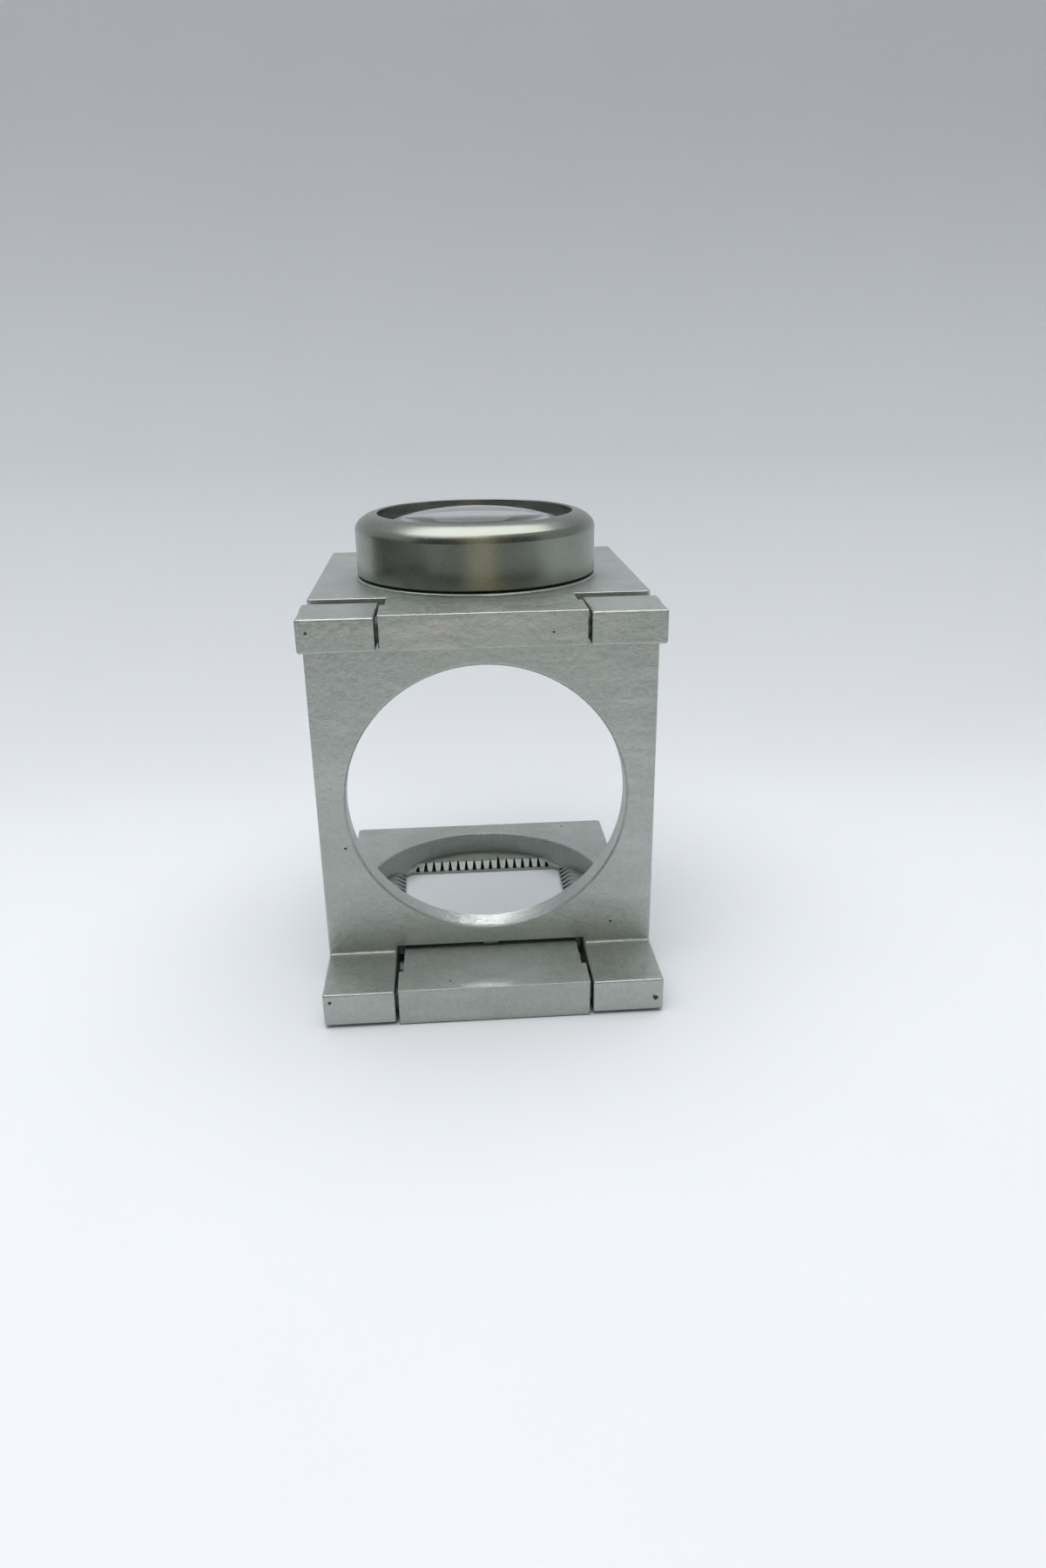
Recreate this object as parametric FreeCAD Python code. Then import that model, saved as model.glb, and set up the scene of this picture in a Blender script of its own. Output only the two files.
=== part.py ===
import FreeCAD
import Part
import math
import os

# Folding viewing loupe. Millimetres, +Z up, +X right, +Y from the hinges towards the far edge.
# Everything is drawn with y = 0 on the stand's front face, then moved so that the
# bottom centre of the whole open loupe's box is the origin.

# Driving sizes
half_width = 16.25          # half the width of the stand
lens_half_width = 16.0      # the same of the two plates
base_half_width = 15.4
plate_near = 3.8            # near edge of both plates, behind the stand
plate_far = 30.8            # far edge of both plates
optic_y = 14.8              # optical axis: lenses above, window below

stand_thick = 2.6
stand_bottom = 4.2          # lower edge between the lower ears
stand_top = 35.0            # upper edge between the upper ears
stand_hole_r = 13.5
stand_hole_z = 19.5

ear_inner = 9.45            # inner face of every ear, from the middle
upper_ear_z = (35.45, 38.5)
upper_ear_front = -3.75
lower_ear_z = (0.25, 3.6)
lower_ear_front = -7.65

lens_plate_z = (35.5, 38.7)
base_plate_z = (0.0, 3.7)
neck_half = 8.7             # neck of a plate, between the ears
knuckle_half = 9.15         # slightly wider knuckle in front of the neck
upper_axis = (-2.15, 37.1)  # y, z of the upper hinge
lower_axis = (-5.8, 1.85)   # y, z of the lower hinge
upper_knuckle_back = 0.6
lower_knuckle_back = -4.15

pin_r = 0.75
pin_half_length = 16.05
pin_running_gap = 0.05
pin_chamfer = 0.12
washer_r = 1.2
washer_thick = 0.2

ear_round = 0.22            # all edges of an ear's front
foot_round = 0.3            # hollow corner between a lower ear and the panel
hole_round = 0.28
stop_half = 0.8             # small stop nubs in the middle of the panel's two edges
stop_height = 0.35
stop_inset = 0.3
stop_round = 0.15
panel_round = 0.2
lip_round = 0.06            # the panel's two edges that face the plates
plate_round = 0.1
plate_corner_r = 0.4
knuckle_round = 0.14

boss_r = 12.15
boss_height = 0.3
boss_round = 0.12
mount_r = 12.0
mount_top = 45.1
mount_open_r = 9.75
shoulder_r = 1.1            # rounding between the mount's side and its crowned top
crown_drop = 0.5            # how much the crown falls from the opening to the shoulder
mount_lip_r = 0.12
mount_undercut = 0.3
spigot_r = 11.0
tube_r = 10.25              # inside of the mount's tube
lens_r = 10.2

recess_r = 13.3
recess_floor = 1.1          # floor left under the recess
rim_round = 0.25
window_y = 15.2
window_half = 9.4
window_corner_r = 1.0
bevel_width = 0.9           # sloping edge around the window
bevel_drop = 0.6
tick_pitch = 1.0
tick_count = 17
tick_width = 0.5            # at the window's edge; each tick tapers to a point
tick_depth = 0.8
tick_length = 1.5
tick_long = 2.5
long_tick = 10              # the first tick is zero

shift = FreeCAD.Vector(0, -(lower_ear_front + plate_far) / 2, 0)


# Helpers
def vec(x, y, z):
    return FreeCAD.Vector(x, y, z)


# Box between two limits on each axis.
def block(x, y, z):
    corner = vec(x[0], y[0], z[0])
    return Part.makeBox(x[1] - x[0], y[1] - y[0], z[1] - z[0], corner)


# Cylinder along X between two x limits.
def rod_x(x, y, z, radius):
    return Part.makeCylinder(radius, x[1] - x[0], vec(x[0], y, z), vec(1, 0, 0))


# Upright cylinder on the optical axis between two z limits.
def disc_z(radius, z, y=optic_y):
    return Part.makeCylinder(radius, z[1] - z[0], vec(0, y, z[0]))


# Edges whose whole bounding box passes the test.
def edges_where(shape, test):
    return [edge for edge in shape.Edges if test(edge.BoundBox)]


def near(value, target):
    return abs(value - target) < 1e-4


# True for a straight edge lying along one axis.
def along(box, axis):
    spans = {"x": box.XLength, "y": box.YLength, "z": box.ZLength}
    others = [length for name, length in spans.items() if name != axis]
    return spans[axis] > 1e-3 and max(others) < 1e-4


# Straight and round edges of a profile, from (radius, z) points.
def line(a, b):
    return Part.makeLine(vec(a[0], optic_y, a[1]), vec(b[0], optic_y, b[1]))


def arc(a, mid, b):
    points = [vec(r, optic_y, z) for r, z in (a, mid, b)]
    return Part.Arc(points[0], points[1], points[2]).toShape()


# Solid of revolution about the optical axis from a closed list of edges.
def revolved(edges):
    face = Part.Face(Part.Wire(edges))
    return face.revolve(vec(0, optic_y, 0), vec(0, 0, 1), 360)


# The same from corner points joined by straight lines.
def turned(corners):
    return revolved([line(a, b) for a, b in zip(corners, corners[1:] + corners[:1])])


# Depth of a spherical surface at distance r from its middle.
def sag(radius, r):
    return radius - math.sqrt(radius * radius - r * r)


# Stand
def make_ear(side, z, front):
    x = (ear_inner, half_width) if side > 0 else (-half_width, -ear_inner)
    ear = block(x, (front, stand_thick), z)
    face = edges_where(ear, lambda b: near(b.YMin, front) and near(b.YMax, front))
    long = edges_where(ear, lambda b: along(b, "y"))
    return ear.makeFillet(ear_round, face + long)


# Hollow corner fillet that joins the top of a lower ear to the panel.
def make_foot_corner(side):
    x = (ear_inner + ear_round, half_width - ear_round)
    if side < 0:
        x = (-x[1], -x[0])
    top = lower_ear_z[1]
    corner = block(x, (-foot_round, 0.1), (top - 0.1, top + foot_round))
    hollow = rod_x((x[0] - 1, x[1] + 1), -foot_round, top + foot_round, foot_round)
    return corner.cut(hollow)


def make_stand_frame():
    low, high = lower_ear_z[0], upper_ear_z[1]
    panel = block((-half_width, half_width), (0, stand_thick), (low, high))
    top_gap = block((-ear_inner, ear_inner), (-1, stand_thick + 1), (stand_top, high + 1))
    bottom_gap = block((-ear_inner, ear_inner), (-1, stand_thick + 1), (low - 1, stand_bottom))
    panel = panel.cut(top_gap).cut(bottom_gap)
    hole = Part.makeCylinder(stand_hole_r, stand_thick + 2, vec(0, -1, stand_hole_z), vec(0, 1, 0))
    panel = panel.cut(hole)
    rims = [e for e in panel.Edges if e.Curve.TypeId == "Part::GeomCircle"]
    panel = panel.makeFillet(hole_round, rims)
    lips = edges_where(panel, lambda b: along(b, "x") and near(b.XMin, -b.XMax))
    lips = [e for e in lips if near(e.BoundBox.ZMin, stand_top) or near(e.BoundBox.ZMin, stand_bottom)]
    panel = panel.makeFillet(lip_round, lips)
    sides = edges_where(panel, lambda b: along(b, "z") and b.ZLength > 30)
    panel = panel.makeFillet(panel_round, sides)
    stand = panel
    for side in (-1, 1):
        stand = stand.fuse(make_ear(side, upper_ear_z, upper_ear_front))
        stand = stand.fuse(make_ear(side, lower_ear_z, lower_ear_front))
        stand = stand.fuse(make_foot_corner(side))
    for z in ((stand_top - stop_height, stand_top + stop_height),
              (stand_bottom - stop_height, stand_bottom + stop_height)):
        nub = block((-stop_half, stop_half), (stop_inset, stand_thick - stop_inset), z)
        nub = nub.makeFillet(stop_round, edges_where(nub, lambda b: along(b, "z")))
        stand = stand.fuse(nub)
    for y, z in (upper_axis, lower_axis):
        stand = stand.cut(rod_x((-half_width - 1, half_width + 1), y, z, pin_r))
    return stand.removeSplitter()


def make_pin(axis):
    pin = rod_x((-pin_half_length, pin_half_length), axis[0], axis[1], pin_r)
    return pin.makeChamfer(pin_chamfer, [e for e in pin.Edges if e.Curve.TypeId == "Part::GeomCircle"])


def make_washer(side, axis):
    gap_middle = side * (ear_inner + knuckle_half) / 2
    x = (gap_middle - washer_thick / 2, gap_middle + washer_thick / 2)
    washer = rod_x(x, axis[0], axis[1], washer_r)
    return washer.cut(rod_x((x[0] - 1, x[1] + 1), axis[0], axis[1], pin_r + 0.02))


# Plates
def make_hinged_plate(half, z, axis, front, knuckle_back):
    body = block((-half, half), (plate_near, plate_far), z)
    body = body.makeFillet(plate_corner_r, edges_where(body, lambda b: along(b, "z")))
    body = body.makeFillet(plate_round, edges_where(body, lambda b: b.ZLength < 1e-4))
    neck = block((-neck_half, neck_half), (knuckle_back - 0.5, plate_near + 1), z)
    knuckle = block((-knuckle_half, knuckle_half), (front, knuckle_back), z)
    knuckle = knuckle.makeFillet(knuckle_round, edges_where(knuckle, lambda b: near(b.YMax, front)))
    plate = body.fuse(neck).fuse(knuckle)
    bore = rod_x((-half_width, half_width), axis[0], axis[1], pin_r + pin_running_gap)
    return plate.cut(bore).removeSplitter()


def make_lens_plate():
    plate = make_hinged_plate(lens_half_width, lens_plate_z, upper_axis, upper_ear_front, upper_knuckle_back)
    boss = disc_z(boss_r, (lens_plate_z[1] - 0.5, lens_plate_z[1] + boss_height))
    boss = boss.makeFillet(boss_round, edges_where(boss, lambda b: near(b.ZMin, lens_plate_z[1] + boss_height)))
    plate = plate.fuse(boss)
    plate = plate.cut(disc_z(spigot_r + 0.01, (lens_plate_z[0] - 1, mount_top)))
    return plate.removeSplitter()


# Square outline with rounded corners around the window's middle.
def window_outline(half, corner_r, z):
    square = block((-half, half), (window_y - half, window_y + half), (z, z + 1))
    square = square.makeFillet(corner_r, edges_where(square, lambda b: along(b, "z")))
    bottom = [face for face in square.Faces if near(face.BoundBox.ZMax, z)]
    return bottom[0].OuterWire


# The window's straight walls and the sloping edge above them.
def make_window():
    edge = recess_floor - bevel_drop
    wall = Part.Face(window_outline(window_half, window_corner_r, -1)).extrude(vec(0, 0, edge + 1.5))
    steps = (0, 1.2)
    outlines = [window_outline(window_half + bevel_width * step, window_corner_r + bevel_width * step,
                               edge + bevel_drop * step) for step in steps]
    slope = Part.makeLoft(outlines, True, True)
    inside = disc_z(recess_r - 0.02, (0, base_plate_z[1]))
    return wall, slope.common(inside)


# Graduation notches around the window, each tapering to a point on the recess floor.
def make_ticks():
    first = -tick_pitch * (tick_count - 1) / 2
    inside = disc_z(recess_r - 0.3, (0, base_plate_z[1]))
    edge = window_y + window_half
    low = recess_floor - tick_depth
    cutters = []
    for index in range(tick_count):
        place = first + index * tick_pitch
        reach = tick_long if index == long_tick else tick_length
        corners = [
            vec(place - tick_width / 2, edge - 0.5, low),
            vec(place + tick_width / 2, edge - 0.5, low),
            vec(place + tick_width / 2, edge, low),
            vec(place, edge + reach, low),
            vec(place - tick_width / 2, edge, low),
        ]
        outline = Part.makePolygon(corners + corners[:1])
        groove = Part.Face(outline).extrude(vec(0, 0, tick_depth + 0.5))
        for turn in range(4):
            copy = groove.copy()
            copy.rotate(vec(0, window_y, 0), vec(0, 0, 1), 90 * turn)
            cutters.append(copy.common(inside))
    return cutters


def make_base_plate():
    plate = make_hinged_plate(base_half_width, base_plate_z, lower_axis, lower_ear_front, lower_knuckle_back)
    plate = plate.cut(disc_z(recess_r, (recess_floor, base_plate_z[1] + 1)))
    rim = [e for e in plate.Edges if e.Curve.TypeId == "Part::GeomCircle"
           and near(e.BoundBox.ZMin, base_plate_z[1]) and e.BoundBox.XLength > recess_r]
    plate = plate.makeFillet(rim_round, rim)
    for cutter in make_window():
        plate = plate.cut(cutter)
    for cutter in make_ticks():
        plate = plate.cut(cutter)
    return plate.removeSplitter()


# Optics
eye_curve = 36.0            # eye lens, upper surface
inner_curve = 45.0          # eye lens, lower surface
field_curve = 40.0          # field lens, lower surface
eye_apex = mount_top + 0.25     # the dome stands just proud of the rim
eye_edge_top = eye_apex - sag(eye_curve, lens_r)
eye_edge_low = 42.1
eye_seat = eye_apex - sag(eye_curve, mount_open_r)
spacer_in_r = 9.4
spacer_top = eye_edge_low - (sag(inner_curve, lens_r) - sag(inner_curve, spacer_in_r)) - 0.01
field_top = 40.6
field_edge_low = 39.4
ring_in_r = 9.0
ring_top = field_edge_low - (sag(field_curve, lens_r) - sag(field_curve, ring_in_r)) - 0.01
ring_low = 36.4
ring_chamfer = 0.3
slot_half = 0.5             # spanner slots in the retaining ring
slot_depth = 0.7
slot_inner = 8.7


def make_lens_mount():
    seat = lens_plate_z[1] + boss_height + 0.01
    low = lens_plate_z[0] + 0.2
    shoulder = (mount_r - shoulder_r, mount_top - crown_drop - shoulder_r)
    run = shoulder[0] - mount_open_r
    turn = 2 * math.atan(crown_drop / run)
    crown_r = shoulder_r + run / math.sin(turn)
    crown = (mount_open_r, mount_top - crown_r)

    def on_shoulder(angle):
        return (shoulder[0] + shoulder_r * math.cos(angle), shoulder[1] + shoulder_r * math.sin(angle))

    def on_crown(r):
        return (r, crown[1] + math.sqrt(crown_r ** 2 - (r - crown[0]) ** 2))

    bend = math.pi / 2 - turn
    lip_start = on_crown(mount_open_r + mount_lip_r)
    lip_middle = (mount_open_r + mount_lip_r * 0.3, mount_top - mount_lip_r * 0.3)
    lip_end = (mount_open_r, mount_top - mount_lip_r)
    edges = [
        line((tube_r, low), (spigot_r, low)),
        line((spigot_r, low), (spigot_r, seat)),
        line((spigot_r, seat), (mount_r - mount_undercut, seat)),
        line((mount_r - mount_undercut, seat), (mount_r, seat + mount_undercut)),
        line((mount_r, seat + mount_undercut), (mount_r, shoulder[1])),
        arc((mount_r, shoulder[1]), on_shoulder(bend / 2), on_shoulder(bend)),
        arc(on_shoulder(bend), on_crown((on_shoulder(bend)[0] + lip_start[0]) / 2), lip_start),
        arc(lip_start, lip_middle, lip_end),
        line(lip_end, (mount_open_r, eye_seat + 0.01)),
        line((mount_open_r, eye_seat + 0.01), (tube_r, eye_seat + 0.01)),
        line((tube_r, eye_seat + 0.01), (tube_r, low)),
    ]
    return revolved(edges)


def make_eye_lens():
    half = lens_r / 2
    low_apex = eye_edge_low - sag(inner_curve, lens_r)
    edges = [
        arc((0, eye_apex), (half, eye_apex - sag(eye_curve, half)), (lens_r, eye_edge_top)),
        line((lens_r, eye_edge_top), (lens_r, eye_edge_low)),
        arc((lens_r, eye_edge_low), (half, low_apex + sag(inner_curve, half)), (0, low_apex)),
        line((0, low_apex), (0, eye_apex)),
    ]
    return revolved(edges)


def make_lens_spacer():
    profile = [(spacer_in_r, field_top + 0.01), (lens_r, field_top + 0.01),
               (lens_r, spacer_top), (spacer_in_r, spacer_top)]
    return turned(profile)


def make_field_lens():
    half = lens_r / 2
    low_apex = field_edge_low - sag(field_curve, lens_r)
    edges = [
        line((0, field_top), (lens_r, field_top)),
        line((lens_r, field_top), (lens_r, field_edge_low)),
        arc((lens_r, field_edge_low), (half, low_apex + sag(field_curve, half)), (0, low_apex)),
        line((0, low_apex), (0, field_top)),
    ]
    return revolved(edges)


def make_retaining_ring():
    profile = [(ring_in_r, ring_low + ring_chamfer), (ring_in_r + ring_chamfer, ring_low), (lens_r, ring_low),
               (lens_r, ring_top), (ring_in_r, ring_top)]
    ring = turned(profile)
    for x in ((-lens_r - 1, -slot_inner), (slot_inner, lens_r + 1)):
        slot = block(x, (optic_y - slot_half, optic_y + slot_half), (ring_low - 1, ring_low + slot_depth))
        ring = ring.cut(slot)
    return ring


# Write every piece
pieces = {
    "stand_frame": make_stand_frame(),
    "upper_hinge_pin": make_pin(upper_axis),
    "lower_hinge_pin": make_pin(lower_axis),
    "upper_washer_left": make_washer(-1, upper_axis),
    "upper_washer_right": make_washer(1, upper_axis),
    "lower_washer_left": make_washer(-1, lower_axis),
    "lower_washer_right": make_washer(1, lower_axis),
    "lens_plate": make_lens_plate(),
    "lens_mount": make_lens_mount(),
    "eye_lens": make_eye_lens(),
    "lens_spacer": make_lens_spacer(),
    "field_lens": make_field_lens(),
    "retaining_ring": make_retaining_ring(),
    "base_plate": make_base_plate(),
}

os.makedirs("parts", exist_ok=True)
for name, shape in pieces.items():
    shape.translate(shift)
    shape.exportStep("parts/" + name + ".step")
    box = shape.BoundBox
    print("%-20s valid %s solids %d  x %.2f %.2f  y %.2f %.2f  z %.2f %.2f" % (
        name, shape.isValid(), len(shape.Solids), box.XMin, box.XMax, box.YMin, box.YMax, box.ZMin, box.ZMax))
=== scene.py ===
import math

import bmesh
import bpy
from mathutils import Euler, Matrix, Vector


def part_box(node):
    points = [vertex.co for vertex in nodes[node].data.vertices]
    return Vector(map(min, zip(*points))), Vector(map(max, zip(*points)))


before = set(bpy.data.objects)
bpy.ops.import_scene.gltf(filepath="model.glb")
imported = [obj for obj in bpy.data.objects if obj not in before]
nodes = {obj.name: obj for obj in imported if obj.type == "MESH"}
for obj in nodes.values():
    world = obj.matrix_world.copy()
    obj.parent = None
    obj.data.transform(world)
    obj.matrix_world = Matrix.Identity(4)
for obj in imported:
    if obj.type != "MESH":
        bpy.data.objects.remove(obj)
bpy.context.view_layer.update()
print("frame loaded:", len(nodes), "pieces from the model")

mm = 0.001


# Shader helpers

class Signal:
    # wraps one output socket, so that sums and products of signals read as plain expressions
    def __init__(self, recipe, socket):
        self.recipe = recipe
        self.socket = socket

    def maths(self, operation, first, second=0.0):
        return self.recipe.add("ShaderNodeMath", {"operation": operation}, {0: first, 1: second})

    def __add__(self, other):
        return self.maths("ADD", self, other)

    def __radd__(self, other):
        return self.maths("ADD", other, self)

    def __sub__(self, other):
        return self.maths("SUBTRACT", self, other)

    def __rsub__(self, other):
        return self.maths("SUBTRACT", other, self)

    def __mul__(self, other):
        return self.maths("MULTIPLY", self, other)

    def __rmul__(self, other):
        return self.maths("MULTIPLY", other, self)

    def __pow__(self, other):
        return self.maths("POWER", self, other)

    def __lt__(self, other):
        return self.maths("LESS_THAN", self, other)

    def __gt__(self, other):
        return self.maths("GREATER_THAN", self, other)

    def size(self):
        return self.maths("ABSOLUTE", self)

    def most(self, other):
        return self.maths("MAXIMUM", self, other)

    def least(self, other):
        return self.maths("MINIMUM", self, other)

    def ramp(self, low, high, start=0.0, end=1.0):
        # smooth step from start to end while the signal goes from low to high
        settings = {"interpolation_type": "SMOOTHSTEP"}
        values = {"Value": self, "From Min": low, "From Max": high, "To Min": start, "To Max": end}
        return self.recipe.add("ShaderNodeMapRange", settings, values)


class Recipe:
    # one material and the nodes that make it
    def __init__(self, name):
        self.material = bpy.data.materials.new(name)
        self.material.use_nodes = True
        self.tree = self.material.node_tree
        self.tree.nodes.clear()

    def add(self, kind, settings=None, values=None, output=0):
        node = self.tree.nodes.new(kind)
        for name, value in (settings or {}).items():
            setattr(node, name, value)
        for name, value in (values or {}).items():
            if isinstance(value, Signal):
                self.tree.links.new(value.socket, node.inputs[name])
            else:
                node.inputs[name].default_value = value
        return Signal(self, node.outputs[output]) if len(node.outputs) else None

    def place(self):
        return self.add("ShaderNodeTexCoord", output="Object")

    def axes(self):
        place = self.place()
        axes = ("X", "Y", "Z")
        return [self.add("ShaderNodeSeparateXYZ", None, {0: place}, axis) for axis in axes]

    def stretched(self, scale, shift=(0.0, 0.0, 0.0)):
        values = {"Vector": self.place(), "Scale": scale, "Location": shift}
        return self.add("ShaderNodeMapping", None, values)

    def noise(self, size, detail=3.0, where=None, rough=0.5):
        # cloud whose lumps are about one size across, in metres
        values = {"Vector": where or self.place(), "Scale": 1.0 / size}
        values.update({"Detail": detail, "Roughness": rough})
        return self.add("ShaderNodeTexNoise", None, values)

    def dots(self, spacing, where=None, spread=1.0):
        # distance to the nearest of many scattered points, in spacings
        values = {"Vector": where or self.place(), "Scale": 1.0 / spacing, "Randomness": spread}
        return self.add("ShaderNodeTexVoronoi", {"feature": "F1"}, values, "Distance")

    def blend(self, factor, first, second):
        settings = {"data_type": "RGBA", "clamp_factor": True}
        return self.add("ShaderNodeMix", settings, {0: factor, 6: first, 7: second}, 2)

    def tint(self, colour, amount):
        # colour made lighter or darker by a number
        values = {0: colour[:3], "Scale": amount}
        return self.add("ShaderNodeVectorMath", {"operation": "SCALE"}, values)

    def marks(self, spots):
        # 1 inside any of a few small spots, each with a place and a radius
        total = None
        settings = {"operation": "DISTANCE"}
        for x, y, z, radius in spots:
            away = self.add("ShaderNodeVectorMath", settings, {0: self.place(), 1: (x, y, z)}, "Value")
            ragged = away + (self.noise(radius, 1.0) - 0.5) * radius
            spot = ragged.ramp(radius, radius * 0.6)
            total = spot if total is None else total.most(spot)
        return total

    def edges(self, reach):
        # 1 on edges sharper than the reach, 0 on flats
        soft = self.add("ShaderNodeBevel", {"samples": 6}, {"Radius": reach})
        flat = self.add("ShaderNodeNewGeometry", output="Normal")
        settings = {"operation": "DOT_PRODUCT"}
        same = self.add("ShaderNodeVectorMath", settings, {0: soft, 1: flat}, "Value")
        return same.ramp(0.99, 0.85)

    def gapShadeMask(self, reach):
        # painted shade: 1 deep in a narrow gap, 0 on open faces
        settings = {"samples": 6}
        openness = self.add("ShaderNodeAmbientOcclusion", settings, {"Distance": reach}, "AO")
        return openness.ramp(0.56, 0.24)

    def bump(self, height, depth):
        return self.add("ShaderNodeBump", None, {"Height": height, "Distance": depth, "Strength": 1.0})

    def finish(self, values):
        shader = self.add("ShaderNodeBsdfPrincipled", None, values)
        self.add("ShaderNodeOutputMaterial", None, {"Surface": shader})
        return self.material


# Finishes

lacquerLook = {
    "colour": (0.425, 0.462, 0.438, 1.0),
    "bare": (0.72, 0.74, 0.72, 1.0),
    # dark colour for the casting pits, and painted shade deep in narrow gaps
    "pitDirtAndGapShade": (0.04, 0.04, 0.035, 1.0),
    "metallic": 0.82,
    "rough": 0.42,
    "coat": 0.08,
    "coatRough": 0.25,
    "cloud": 6 * mm,                    # sizes of the lumps, each with its share of the shade
    "cloudDepth": 0.34,
    "mottle": 0.55 * mm,
    "mottleDepth": 0.42,
    "grain": 0.17 * mm,
    "grainDepth": 0.5,
    "flake": 0.11 * mm,
    "flakeDepth": 0.2,
    "peel": 1.1 * mm,
    "edgeReach": 0.22 * mm,             # how wide an edge is rubbed
    "rubSize": 1.0 * mm,
    "rubDepth": 0.7,
    "gapShadeReach": 1.2 * mm,               # how narrow a gap gets painted shade
    "pitDirtAndGapShadeDepth": 0.9,
    "scratchSize": 1.6 * mm,
    "scratchStretch": (1.0, 14.0, 9.0),
    "scratchShift": (0.013, 0.0, 0.002),
    "scratchDepth": 0.3,
    "scuffSize": 2.6 * mm,
    "scuffStretch": (0.35, 1.0, 1.6),
    "scuffDepth": 0.22,
    "scuffColour": (0.56, 0.53, 0.515, 1.0),
    "bumpDepth": 0.08 * mm,
    "offset": (0.0, 0.0, 0.0),          # moves the clouds, so that no two pieces are alike
}


def silverLacquer(name, look):
    # the parts of the finish that all castings share
    recipe = Recipe(name)
    where = recipe.stretched((1.0, 1.0, 1.0), look["offset"])
    cloud = recipe.noise(look["cloud"], 2.0, where)
    mottle = recipe.noise(look["mottle"], 3.0, where, 0.6)
    grain = recipe.noise(look["grain"], 2.0, where, 0.7)
    flake = recipe.dots(look["flake"], where)
    peel = recipe.noise(look["peel"], 2.0, where)
    rub = recipe.edges(look["edgeReach"]) * recipe.noise(look["rubSize"], 3.0, where).ramp(0.38, 0.6)
    scratchWhere = recipe.stretched(look["scratchStretch"], look["scratchShift"])
    scratch = recipe.noise(look["scratchSize"], 1.0, scratchWhere, 0.3)
    fine = (scratch - 0.5).size().ramp(0.014, 0.0) * cloud.ramp(0.48, 0.62)
    scuffWhere = recipe.stretched(look["scuffStretch"], look["offset"])
    scuff = recipe.noise(look["scuffSize"], 4.0, scuffWhere, 0.65).ramp(0.48, 0.66)
    shade = 1.0 + (cloud - 0.5) * look["cloudDepth"] + (grain - 0.5) * look["grainDepth"]
    shade = shade + (mottle - 0.5) * look["mottleDepth"] + flake.ramp(0.3, 0.0) * look["flakeDepth"]
    colour = recipe.tint(look["colour"], shade)
    colour = recipe.blend(scuff * look["scuffDepth"], colour, look["scuffColour"])
    colour = recipe.blend(fine * look["scratchDepth"], colour, look["bare"])
    colour = recipe.blend(rub * look["rubDepth"], colour, look["bare"])
    # casting pits darkened as dirt, together with painted shade deep in narrow gaps between parts
    pits = recipe.marks(look["pits"]).most(recipe.gapShadeMask(look["gapShadeReach"]))
    colour = recipe.blend(pits * look["pitDirtAndGapShadeDepth"], colour, look["pitDirtAndGapShade"])
    rough = look["rough"] + (grain - 0.5) * 0.16 + (mottle - 0.5) * 0.22
    rough = rough - rub * 0.1 + pits * 0.3 - scuff * 0.05
    height = peel * 0.7 + mottle * 0.3 + grain * 0.2 + flake * 0.06 - pits * 1.2 - fine * 0.1
    return recipe, colour, rough, height


def lacquerMaterial(name, look):
    recipe, colour, rough, height = silverLacquer(name, look)
    return recipe.finish({
        "Base Color": colour,
        "Roughness": rough,
        "Metallic": look["metallic"],
        "Normal": recipe.bump(height, look["bumpDepth"]),
        "Coat Weight": look["coat"],
        "Coat Roughness": look["coatRough"],
    })


# casting pits and small chips: place and radius in metres
standPits = [
    (-0.01535, -0.01533, 0.0373, 0.00016),
    (0.01215, -0.01158, 0.0059, 0.00016),
    (-0.0138, -0.01158, 0.0152, 0.00014),
    (0.0155, -0.0192, 0.0016, 0.00032),
    (-0.0156, -0.0192, 0.0028, 0.00020),
]

lensPlatePits = [
    (0.0061, -0.0153, 0.0368, 0.00013),
    (-0.0122, 0.0098, 0.0387, 0.00015),
]

basePits = [
    (-0.0042, -0.0178, 0.0037, 0.00012),
    (0.0103, 0.0177, 0.0037, 0.00014),
]

# what the castings change in the finish they share
standLook = {"pits": standPits}

lensPlateLook = {
    "scuffDepth": 0.5,
    "offset": (0.031, 0.017, 0.0),
    "pits": lensPlatePits,
}

baseLook = {
    "rough": 0.54,
    "grainDepth": 0.7,
    "bumpDepth": 0.09 * mm,
    "offset": (-0.021, 0.043, 0.0),
    "pits": basePits,
}

graduationLook = {
    "windowY": 3.625 * mm,      # the window's middle
    "windowHalf": 9.4 * mm,
    "inkBottom": 0.2 * mm,
    "inkStart": 0.02 * mm,      # how far from the window the marks start and end
    "inkEnd": 3 * mm,
    "inkRough": 0.2,
    "wearSize": 0.5 * mm,
    "wearDepth": 0.5,
    "bevelLow": 0.5 * mm,       # height of the sloping edge at the window, then its rise
    "bevelRise": 0.6 / 0.9,
    "floorTop": 1.1 * mm,
    "hidden": 0.05 * mm,        # how far under the slope or the floor a mark begins
    "ink": (0.018, 0.02, 0.02, 1.0),
}


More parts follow.
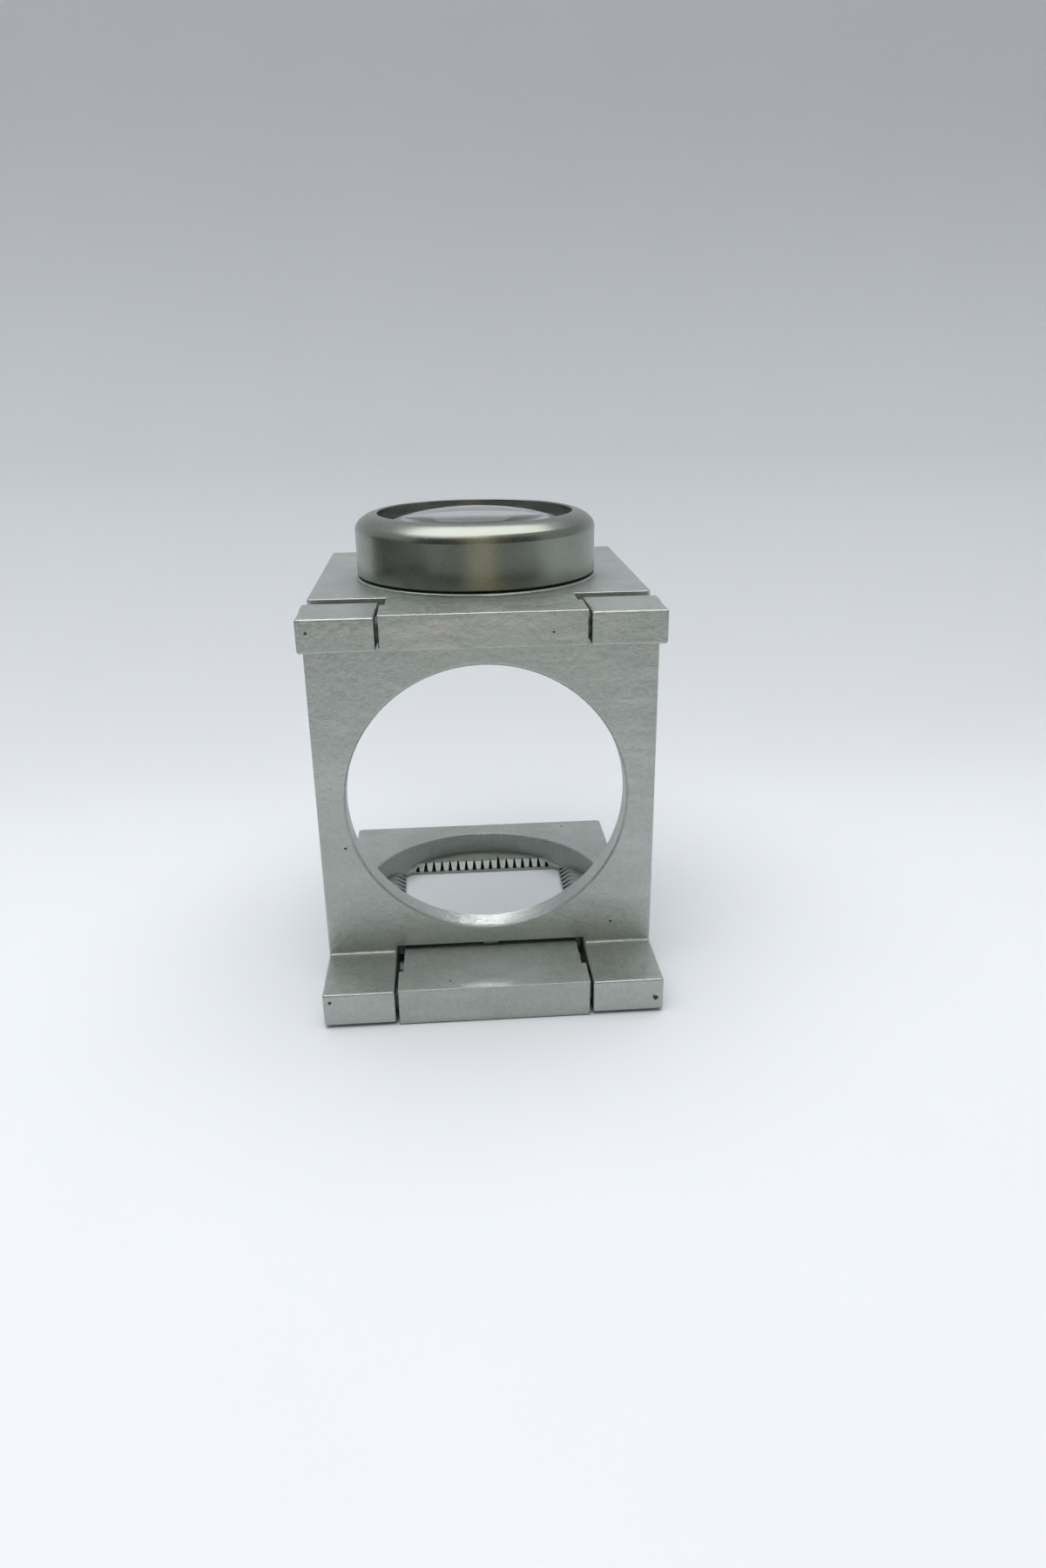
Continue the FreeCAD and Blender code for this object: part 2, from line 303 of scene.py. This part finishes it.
def basePlateMaterial():
    look = {**lacquerLook, **baseLook}
    marks = graduationLook
    recipe, colour, rough, height = silverLacquer("basePlateLacquer", look)
    x, y, z = recipe.axes()
    fromWindow = x.size().most((y - marks["windowY"]).size()) - marks["windowHalf"]
    surface = (fromWindow * marks["bevelRise"] + marks["bevelLow"]).least(marks["floorTop"])
    inMark = (z < surface - marks["hidden"]) * (z > marks["inkBottom"])
    inMark = inMark * (fromWindow > marks["inkStart"]) * (fromWindow < marks["inkEnd"])
    wear = recipe.noise(marks["wearSize"], 2.0).ramp(0.66, 0.74)
    ink = inMark * (1 - wear * marks["wearDepth"])
    colour = recipe.blend(ink, colour, marks["ink"])
    return recipe.finish({
        "Base Color": colour,
        "Roughness": rough + ink * marks["inkRough"],
        "Metallic": look["metallic"] - ink * look["metallic"],
        "Normal": recipe.bump(height, look["bumpDepth"]),
        "Coat Weight": look["coat"],
        "Coat Roughness": look["coatRough"],
    })


def opticAxisY():
    low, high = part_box("lens_mount")
    return (low.y + high.y) / 2


def roundOptic(recipe):
    # distance from the optic axis, and the height
    x, y, z = recipe.axes()
    across = y - opticAxisY()
    return (x * x + across * across) ** 0.5, z


mountLook = {
    "colour": (0.31, 0.33, 0.29, 1.0),
    "bright": (0.58, 0.60, 0.57, 1.0),
    "line": 0.045 * mm,
    "cloud": 5 * mm,
    "grain": 0.12 * mm,
    "edgeReach": 0.2 * mm,
    "rubSize": 0.9 * mm,
    "rubDepth": 0.5,
    "scuffSize": 1.4 * mm,
    "scuffStretch": (6.0, 6.0, 1.0),
    "scuffDepth": 0.18,
    "rough": 0.29,
    "bumpDepth": 0.005 * mm,
}


def mountMaterial():
    look = mountLook
    recipe = Recipe("mountSatin")
    radius, z = roundOptic(recipe)
    lineWhere = recipe.add("ShaderNodeCombineXYZ", None, {0: radius, 2: z})
    lines = recipe.noise(look["line"], 2.0, lineWhere, 0.6)
    cloud = recipe.noise(look["cloud"], 2.0)
    grain = recipe.noise(look["grain"], 2.0)
    rub = recipe.edges(look["edgeReach"]) * recipe.noise(look["rubSize"], 3.0).ramp(0.4, 0.6)
    scuffWhere = recipe.stretched(look["scuffStretch"])
    scuffs = recipe.noise(look["scuffSize"], 3.0, scuffWhere).ramp(0.66, 0.74)
    shade = 1.0 + (lines - 0.5) * 0.06 + (cloud - 0.5) * 0.2 + (grain - 0.5) * 0.12
    colour = recipe.tint(look["colour"], shade)
    colour = recipe.blend(rub * look["rubDepth"], colour, look["bright"])
    colour = recipe.blend(scuffs * look["scuffDepth"], colour, look["bright"])
    rough = look["rough"] + (lines - 0.5) * 0.08 + (grain - 0.5) * 0.1 + scuffs * 0.08
    return recipe.finish({
        "Base Color": colour,
        "Roughness": rough,
        "Metallic": 1.0,
        "Normal": recipe.bump(lines * 0.4 + grain * 0.4, look["bumpDepth"]),
    })


glassLook = {
    "colour": (0.96, 0.985, 0.975, 1.0),
    "index": 1.52,
    "rough": 0.012,
    "smearSize": 3.2 * mm,
    "smearRough": 0.035,
    "dustSpacing": 1.9 * mm,
    "dustRough": 0.3,
    "edgeInk": (0.02, 0.02, 0.02, 1.0),     # the ground edge is blackened
    "edgeStart": 10.12 * mm,
    "edgeSoft": 0.04 * mm,
    "edgeRough": 0.7,
    "edgeGrain": 0.1 * mm,
}


def glassMaterial(name, seed):
    look = glassLook
    recipe = Recipe(name)
    radius, z = roundOptic(recipe)
    rim = radius.ramp(look["edgeStart"], look["edgeStart"] + look["edgeSoft"])
    where = recipe.stretched((1.0, 1.0, 1.0), (seed, 0.0, 0.0))
    smear = recipe.noise(look["smearSize"], 3.0, where).ramp(0.55, 0.8)
    dust = recipe.dots(look["dustSpacing"], where).ramp(0.03, 0.015)
    clear = recipe.add("ShaderNodeBsdfPrincipled", None, {
        "Base Color": look["colour"],
        "Roughness": look["rough"] + smear * look["smearRough"] + dust * look["dustRough"],
        "IOR": look["index"],
        "Transmission Weight": 1.0,
    })
    ground = recipe.add("ShaderNodeBsdfPrincipled", None, {
        "Base Color": look["edgeInk"],
        "Roughness": look["edgeRough"] + (recipe.noise(look["edgeGrain"]) - 0.5) * 0.2,
    })
    mixed = recipe.add("ShaderNodeMixShader", None, {0: rim, 1: clear, 2: ground})
    recipe.add("ShaderNodeOutputMaterial", None, {"Surface": mixed})
    return recipe.material


ringLook = {
    "colour": (0.035, 0.035, 0.037),
    "bare": (0.3, 0.3, 0.3, 1.0),
    "turns": 0.05 * mm,
    "cloud": 2 * mm,
    "edgeReach": 0.12 * mm,
    "rubSize": 0.7 * mm,
    "rubDepth": 0.4,
    "rough": 0.42,
    "bumpDepth": 0.008 * mm,
}


def blackRingMaterial():
    look = ringLook
    recipe = Recipe("blackRing")
    radius, z = roundOptic(recipe)
    turnWhere = recipe.add("ShaderNodeCombineXYZ", None, {0: radius, 2: z})
    turns = recipe.noise(look["turns"], 1.0, turnWhere)
    cloud = recipe.noise(look["cloud"], 3.0)
    rub = recipe.edges(look["edgeReach"]) * recipe.noise(look["rubSize"], 2.0).ramp(0.45, 0.6)
    colour = recipe.tint(look["colour"], 0.8 + cloud * 0.5 + (turns - 0.5) * 0.3)
    colour = recipe.blend(rub * look["rubDepth"], colour, look["bare"])
    return recipe.finish({
        "Base Color": colour,
        "Roughness": look["rough"] + (turns - 0.5) * 0.2 + cloud * 0.1,
        "Metallic": rub * 0.6,
        "Normal": recipe.bump(turns, look["bumpDepth"]),
    })


pinLook = {
    "colour": (0.50, 0.50, 0.49),
    "stain": (0.16, 0.13, 0.10, 1.0),
    "stainDepth": 0.5,
    "lines": 0.05 * mm,
    "lineStretch": (0.03, 1.0, 1.0),
    "cloud": 0.8 * mm,
    "rough": 0.28,
    "bumpDepth": 0.006 * mm,
}


def pinSteelMaterial():
    look = pinLook
    recipe = Recipe("pinSteel")
    lines = recipe.noise(look["lines"], 2.0, recipe.stretched(look["lineStretch"]), 0.6)
    cloud = recipe.noise(look["cloud"], 3.0)
    colour = recipe.tint(look["colour"], 0.8 + cloud * 0.3 + (lines - 0.5) * 0.3)
    colour = recipe.blend(cloud.ramp(0.6, 0.75) * look["stainDepth"], colour, look["stain"])
    return recipe.finish({
        "Base Color": colour,
        "Roughness": look["rough"] + (lines - 0.5) * 0.2 + cloud * 0.12,
        "Metallic": 1.0,
        "Normal": recipe.bump(lines, look["bumpDepth"]),
    })


washerLook = {
    "colour": (0.10, 0.10, 0.105),
    "stain": (0.05, 0.045, 0.04, 1.0),
    "stainDepth": 0.4,
    "cloud": 0.6 * mm,
    "grain": 0.06 * mm,
    "metallic": 0.8,
    "rough": 0.4,
    "bumpDepth": 0.005 * mm,
}


def washerSteelMaterial():
    look = washerLook
    recipe = Recipe("washerSteel")
    cloud = recipe.noise(look["cloud"], 3.0)
    grain = recipe.noise(look["grain"], 2.0)
    colour = recipe.tint(look["colour"], 0.75 + cloud * 0.4 + (grain - 0.5) * 0.2)
    colour = recipe.blend(cloud.ramp(0.55, 0.7) * look["stainDepth"], colour, look["stain"])
    return recipe.finish({
        "Base Color": colour,
        "Roughness": look["rough"] + cloud * 0.2,
        "Metallic": look["metallic"],
        "Normal": recipe.bump(grain, look["bumpDepth"]),
    })


def dress(nodeName, material):
    mesh = nodes[nodeName].data
    mesh.materials.clear()
    mesh.materials.append(material)


blackRing = blackRingMaterial()
pinSteel = pinSteelMaterial()
washerSteel = washerSteelMaterial()

dress("stand_frame", lacquerMaterial("standLacquer", {**lacquerLook, **standLook}))
dress("lens_plate", lacquerMaterial("lensPlateLacquer", {**lacquerLook, **lensPlateLook}))
dress("base_plate", basePlateMaterial())
print("castings done")

dress("lens_mount", mountMaterial())
dress("eye_lens", glassMaterial("eyeGlass", 0.0))
dress("field_lens", glassMaterial("fieldGlass", 0.05))
dress("lens_spacer", blackRing)
dress("retaining_ring", blackRing)
print("mount and lenses done")

for level in ("upper", "lower"):
    dress(level + "_hinge_pin", pinSteel)
    for side in ("left", "right"):
        dress(level + "_washer_" + side, washerSteel)
print("hinge parts done")


# Studio: a paper sweep, soft lights and the camera

sweepLook = {
    "halfWidth": 0.9,
    "under": -0.00002,                  # just clear of the base plate's flat underside
    "front": -0.9,
    "bendStart": 0.035,
    "bendRadius": 0.045,
    "bendSteps": 24,
    "top": 0.16,
    "colour": (0.85, 0.87, 0.90),
    "nearPaintedShade": (0.01, 0.07, 0.08),     # painted shade: the paper is made darker further back and up, where the light falls off: from, to and how much darker
    "farPaintedShade": (0.11, 0.19, 0.30),
    "fleck": 0.02,
    "rough": 0.8,
    "specular": 0.05,
}


def paperMaterial():
    # the paper doesn't show from behind, so the loupe can be looked at from there too
    look = sweepLook
    recipe = Recipe("paper")
    fleck = recipe.noise(look["fleck"], 3.0)
    y, z = recipe.axes()[1:]
    shade = 0.985 + fleck * 0.03
    # painted shade: darker towards the back and the top
    for start, end, amount in (look["nearPaintedShade"], look["farPaintedShade"]):
        shade = shade - (y + z).ramp(start, end) * amount
    paper = recipe.add("ShaderNodeBsdfPrincipled", None, {
        "Base Color": recipe.tint(look["colour"], shade),
        "Roughness": look["rough"] + fleck * 0.05,
        "Specular IOR Level": look["specular"],
    })
    seeThrough = recipe.add("ShaderNodeBsdfTransparent")
    behind = recipe.add("ShaderNodeNewGeometry", output="Backfacing")
    mixed = recipe.add("ShaderNodeMixShader", None, {0: behind, 1: paper, 2: seeThrough})
    recipe.add("ShaderNodeOutputMaterial", None, {"Surface": mixed})
    return recipe.material


def paperSweep():
    look = sweepLook
    mesh = bpy.data.meshes.new("paperSweep")
    shape = bmesh.new()
    profile = [(look["front"], 0.0)]
    radius = look["bendRadius"]
    for step in range(look["bendSteps"] + 1):
        angle = math.radians(90) * step / look["bendSteps"]
        profile.append((look["bendStart"] + radius * math.sin(angle), radius - radius * math.cos(angle)))
    profile.append((look["bendStart"] + radius, look["top"]))
    rows = []
    for along, up in profile:
        rows.append([shape.verts.new((side * look["halfWidth"], along, up)) for side in (-1, 1)])
    for lower, upper in zip(rows, rows[1:]):
        face = shape.faces.new((lower[0], lower[1], upper[1], upper[0]))
        face.smooth = True
    shape.to_mesh(mesh)
    shape.free()
    sweep = bpy.data.objects.new("paperSweep", mesh)
    sweep.location.z = look["under"]
    bpy.context.scene.collection.objects.link(sweep)
    mesh.materials.append(paperMaterial())


def softBox(name, place, target, size, power):
    light = bpy.data.lights.new(name, "AREA")
    light.shape = "RECTANGLE"
    light.size = size[0]
    light.size_y = size[1]
    light.energy = power
    box = bpy.data.objects.new(name, light)
    box.location = place
    box.rotation_euler = (Vector(target) - Vector(place)).to_track_quat("-Z", "Y").to_euler()
    bpy.context.scene.collection.objects.link(box)
    return box


lightLook = {
    "room": (0.54, 0.56, 0.57, 1.0),
    "roomStrength": 0.68,
    "topPlace": (-0.02, 0.02, 0.42),
    "topSize": (0.62, 0.46),
    "topPower": 1.95,
    "glintPlace": (0.002, 0.074, 0.034),
    "glintTarget": (0.0, -0.010, 0.006),
    "glintSize": (0.008, 0.006),
    "glintSpread": 12,
    "glintPower": 0.00006,
}

# sheets round the table that show only as reflections, standing in for the dark and warm room in front; the
# left one gives a painted dark reflection: name, two ends on the floor, height, colour
roomCards = [
    ("coolCard", (-0.30, -0.17), (-0.03, -0.17), 0.30, (0.05, 0.055, 0.05)),
    ("warmCard", (-0.03, -0.17), (0.05, -0.17), 0.30, (0.56, 0.47, 0.30)),
    ("sideCard", (0.05, -0.17), (0.30, -0.17), 0.30, (0.07, 0.08, 0.07)),
    # a dark sheet where the floor is bright, for a painted dark reflection on the cap's left side
    ("leftShadeCard", (-0.16, -0.17), (-0.16, 0.07), 0.06, (0.04, 0.045, 0.04)),
]


cardLook = {
    "foot": -0.01,
    "cloud": 0.05,
    "rough": 0.8,
}


def roomCard(name, start, end, height, colour):
    mesh = bpy.data.meshes.new(name)
    shape = bmesh.new()
    foot = cardLook["foot"]
    corners = [(*start, foot), (*end, foot), (*end, height), (*start, height)]
    shape.faces.new([shape.verts.new(corner) for corner in corners])
    shape.to_mesh(mesh)
    shape.free()
    card = bpy.data.objects.new(name, mesh)
    bpy.context.scene.collection.objects.link(card)
    recipe = Recipe(name)
    cloud = recipe.noise(cardLook["cloud"], 3.0)
    mesh.materials.append(recipe.finish({
        "Base Color": recipe.tint(colour, 0.8 + cloud * 0.4),
        "Roughness": cardLook["rough"] + (cloud - 0.5) * 0.1,
    }))
    card.visible_camera = False
    card.visible_diffuse = False
    card.visible_shadow = False


def studioLights():
    look = lightLook
    world = bpy.data.worlds.new("room")
    world.use_nodes = True
    background = world.node_tree.nodes["Background"]
    background.inputs["Color"].default_value = look["room"]
    background.inputs["Strength"].default_value = look["roomStrength"]
    bpy.context.scene.world = world
    softBox("topLight", look["topPlace"], (0, 0, 0), look["topSize"], look["topPower"])
    glint = softBox("glint", look["glintPlace"], look["glintTarget"], look["glintSize"], look["glintPower"])
    glint.data.spread = math.radians(look["glintSpread"])
    glint.visible_camera = False
    glint.visible_diffuse = False       # it only makes the white glint in the hole
    for card in roomCards:
        roomCard(*card)


cameraLook = {
    "place": (-0.00303, -0.10563, 0.05822),
    "turn": 3.954,              # degrees to the right of straight ahead
    "tilt": -21.43,             # degrees above the horizon
    "roll": -0.762,
    "lens": 24.295,
    "sensor": 36.0,
    "nearest": 0.005,
    "farthest": 5.0,
}


def makeCamera():
    look = cameraLook
    data = bpy.data.cameras.new("camera")
    data.lens = look["lens"]
    data.sensor_width = look["sensor"]
    data.clip_start = look["nearest"]
    data.clip_end = look["farthest"]
    camera = bpy.data.objects.new("camera", data)
    aim = Euler((math.radians(90 + look["tilt"]), 0.0, -math.radians(look["turn"])))
    spin = Matrix.Rotation(math.radians(look["roll"]), 4, "Z")
    camera.matrix_world = Matrix.Translation(look["place"]) @ aim.to_matrix().to_4x4() @ spin
    bpy.context.scene.collection.objects.link(camera)
    bpy.context.scene.camera = camera


paperSweep()
print("paper done")
studioLights()
print("lights done")
makeCamera()
bpy.context.scene.view_settings.view_transform = "Standard"
print("camera done")
